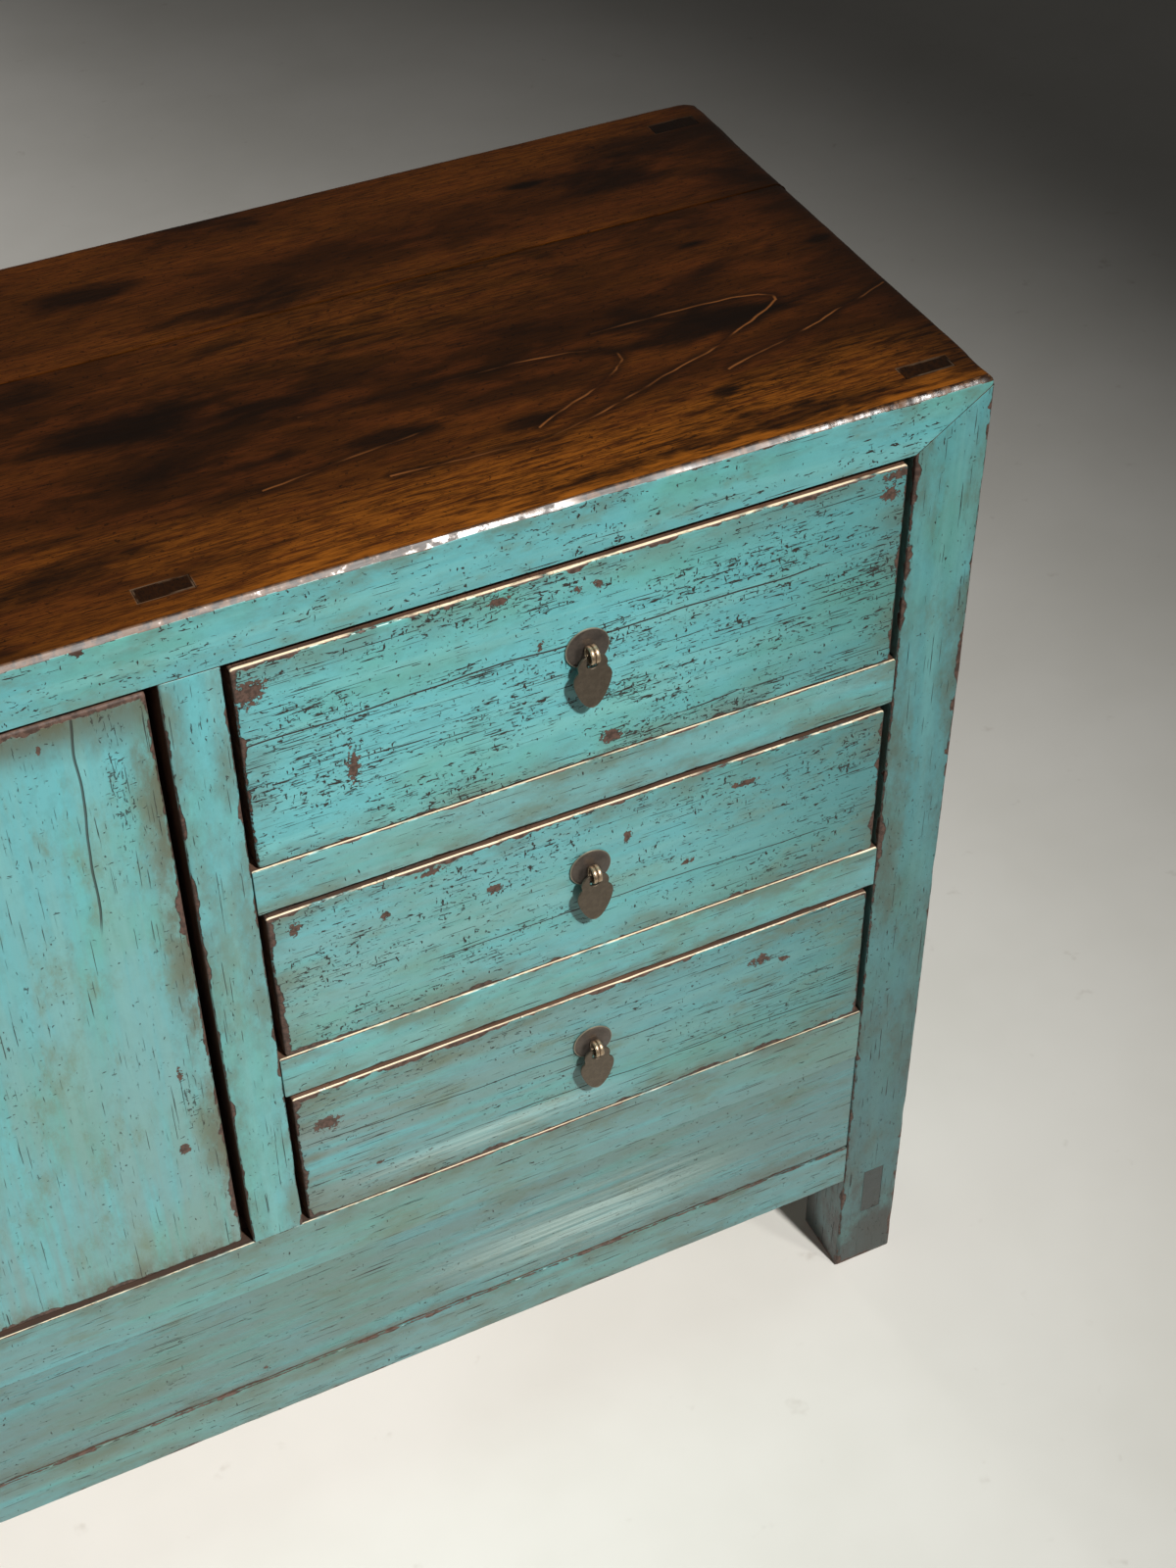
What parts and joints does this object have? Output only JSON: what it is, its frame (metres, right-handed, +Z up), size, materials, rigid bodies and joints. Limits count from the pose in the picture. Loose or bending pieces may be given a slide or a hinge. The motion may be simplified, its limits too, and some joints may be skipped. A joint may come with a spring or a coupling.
{
  "type": "sideboard",
  "caption": "Long low lacquered wood sideboard on square legs, with plank doors between banks of drawers, leaf-shaped drop pulls and a dark stained plank top.",
  "frame": {"origin": "on the floor, in the middle of the outer box", "axes": "+X along the length to the right as seen from the front, +Y from front to back, +Z up"},
  "size_m": [1.8, 0.3984, 0.86],
  "materials": {
    "lacquer": "worn turquoise lacquer over brown ground, satin to gloss",
    "stained_wood": "dark brown stained wood under old gloss lacquer",
    "plain_wood": "unfinished aged wood",
    "dark_brass": "dark patinated brass"
  },
  "bodies": {
    "carcase": {"top_front_plank": "stained_wood", "top_rear_plank": "stained_wood", "lower_front_rail": "lacquer", "front_panel": "lacquer", "bottom_front_rail": "lacquer", "back_panel": "plain_wood", "back_bottom_rail": "plain_wood", "bottom_board": "plain_wood", "leg_front_left": "lacquer", "leg_back_left": "lacquer", "stile_left": "lacquer", "drawer_rail_left_upper": "lacquer", "drawer_rail_left_lower": "lacquer", "side_panel_left": "lacquer", "side_rail_left": "lacquer", "partition_left": "plain_wood", "runner_ladder_left": "plain_wood", "leg_front_right": "lacquer", "leg_back_right": "lacquer", "stile_right": "lacquer", "drawer_rail_right_upper": "lacquer", "drawer_rail_right_lower": "lacquer", "side_panel_right": "lacquer", "side_rail_right": "lacquer", "partition_right": "plain_wood", "runner_ladder_right": "plain_wood"},
    "drawer_left_bottom": {"drawer_front_left_bottom": "lacquer", "drawer_tray_left_bottom": "plain_wood", "pull_plate_left_bottom": "dark_brass"},
    "leaf_left_bottom": {"pull_leaf_left_bottom": "dark_brass"},
    "drawer_left_middle": {"drawer_front_left_middle": "lacquer", "drawer_tray_left_middle": "plain_wood", "pull_plate_left_middle": "dark_brass"},
    "leaf_left_middle": {"pull_leaf_left_middle": "dark_brass"},
    "drawer_left_top": {"drawer_front_left_top": "lacquer", "drawer_tray_left_top": "plain_wood", "pull_plate_left_top": "dark_brass"},
    "leaf_left_top": {"pull_leaf_left_top": "dark_brass"},
    "drawer_right_bottom": {"drawer_front_right_bottom": "lacquer", "drawer_tray_right_bottom": "plain_wood", "pull_plate_right_bottom": "dark_brass"},
    "leaf_right_bottom": {"pull_leaf_right_bottom": "dark_brass"},
    "drawer_right_middle": {"drawer_front_right_middle": "lacquer", "drawer_tray_right_middle": "plain_wood", "pull_plate_right_middle": "dark_brass"},
    "leaf_right_middle": {"pull_leaf_right_middle": "dark_brass"},
    "drawer_right_top": {"drawer_front_right_top": "lacquer", "drawer_tray_right_top": "plain_wood", "pull_plate_right_top": "dark_brass"},
    "leaf_right_top": {"pull_leaf_right_top": "dark_brass"},
    "door_left": {"door_left": "lacquer", "door_batten_left_lower": "plain_wood", "door_batten_left_upper": "plain_wood", "pull_plate_door_left": "dark_brass"},
    "leaf_door_left": {"pull_leaf_door_left": "dark_brass"},
    "door_right": {"door_right": "lacquer", "door_batten_right_lower": "plain_wood", "door_batten_right_upper": "plain_wood", "pull_plate_door_right": "dark_brass"},
    "leaf_door_right": {"pull_leaf_door_right": "dark_brass"}
  },
  "joints": [
    {"name": "drawer_left_bottom_slide", "type": "slide", "parent": "carcase", "child": "drawer_left_bottom", "axis": [0, -1, 0], "range_m": [0, 0.26]},
    {"name": "leaf_left_bottom_swing", "type": "hinge", "parent": "drawer_left_bottom", "child": "leaf_left_bottom", "pos_m": [-0.6295, -0.19325, 0.3948], "axis": [-1, 0, 0], "range_deg": [-8, 100]},
    {"name": "drawer_left_middle_slide", "type": "slide", "parent": "carcase", "child": "drawer_left_middle", "axis": [0, -1, 0], "range_m": [0, 0.26]},
    {"name": "leaf_left_middle_swing", "type": "hinge", "parent": "drawer_left_middle", "child": "leaf_left_middle", "pos_m": [-0.6295, -0.19325, 0.5653], "axis": [-1, 0, 0], "range_deg": [-8, 100]},
    {"name": "drawer_left_top_slide", "type": "slide", "parent": "carcase", "child": "drawer_left_top", "axis": [0, -1, 0], "range_m": [0, 0.26]},
    {"name": "leaf_left_top_swing", "type": "hinge", "parent": "drawer_left_top", "child": "leaf_left_top", "pos_m": [-0.6295, -0.19325, 0.7488], "axis": [-1, 0, 0], "range_deg": [-8, 100]},
    {"name": "drawer_right_bottom_slide", "type": "slide", "parent": "carcase", "child": "drawer_right_bottom", "axis": [0, -1, 0], "range_m": [0, 0.26]},
    {"name": "leaf_right_bottom_swing", "type": "hinge", "parent": "drawer_right_bottom", "child": "leaf_right_bottom", "pos_m": [0.6295, -0.19325, 0.3948], "axis": [-1, 0, 0], "range_deg": [-8, 100]},
    {"name": "drawer_right_middle_slide", "type": "slide", "parent": "carcase", "child": "drawer_right_middle", "axis": [0, -1, 0], "range_m": [0, 0.26]},
    {"name": "leaf_right_middle_swing", "type": "hinge", "parent": "drawer_right_middle", "child": "leaf_right_middle", "pos_m": [0.6295, -0.19325, 0.5653], "axis": [-1, 0, 0], "range_deg": [-8, 100]},
    {"name": "drawer_right_top_slide", "type": "slide", "parent": "carcase", "child": "drawer_right_top", "axis": [0, -1, 0], "range_m": [0, 0.26]},
    {"name": "leaf_right_top_swing", "type": "hinge", "parent": "drawer_right_top", "child": "leaf_right_top", "pos_m": [0.6295, -0.19325, 0.7488], "axis": [-1, 0, 0], "range_deg": [-8, 100]},
    {"name": "door_left_turn", "type": "hinge", "parent": "carcase", "child": "door_left", "pos_m": [-0.3535, -0.17275, 0.5685], "axis": [0, 0, -1], "range_deg": [0, 90]},
    {"name": "leaf_door_left_swing", "type": "hinge", "parent": "door_left", "child": "leaf_door_left", "pos_m": [-0.0435, -0.19175, 0.5783], "axis": [-1, 0, 0], "range_deg": [-8, 100]},
    {"name": "door_right_turn", "type": "hinge", "parent": "carcase", "child": "door_right", "pos_m": [0.3535, -0.17275, 0.5685], "axis": [0, 0, 1], "range_deg": [0, 90]},
    {"name": "leaf_door_right_swing", "type": "hinge", "parent": "door_right", "child": "leaf_door_right", "pos_m": [0.0435, -0.19175, 0.5783], "axis": [-1, 0, 0], "range_deg": [-8, 100]}
  ]
}
